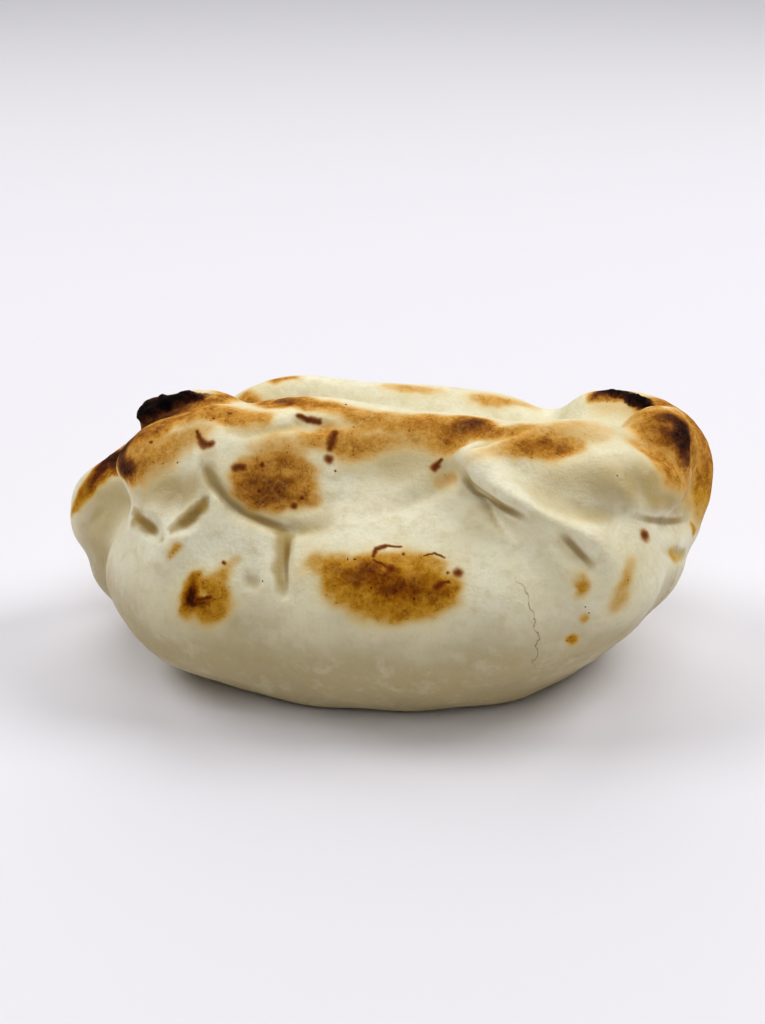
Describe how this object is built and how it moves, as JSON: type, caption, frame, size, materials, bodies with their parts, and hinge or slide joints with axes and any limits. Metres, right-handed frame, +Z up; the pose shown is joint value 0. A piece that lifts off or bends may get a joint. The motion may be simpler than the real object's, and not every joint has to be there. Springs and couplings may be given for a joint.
{
  "type": "empanada",
  "caption": "Baked empanada: a rounded pouch of pale wheat dough with a pleated, folded seam along its top, toasted and scorched along the folds.",
  "frame": {"origin": "centre of the flat base the empanada stands on, under the middle of its bounding box", "axes": "+Z up, +X along the length towards the end with the knob and the scorched rim, -Y towards the side with the folded flap"},
  "size_m": [0.131, 0.08, 0.054],
  "materials": {
    "crust": "baked wheat crust, satin and slightly waxy: pale cream dough with ochre shadows in its creases, golden brown toast on the raised folds and belly, and black scorch marks at the ends of the rim"
  },
  "bodies": {
    "root": {"empanada": "crust"}
  },
  "joints": []
}
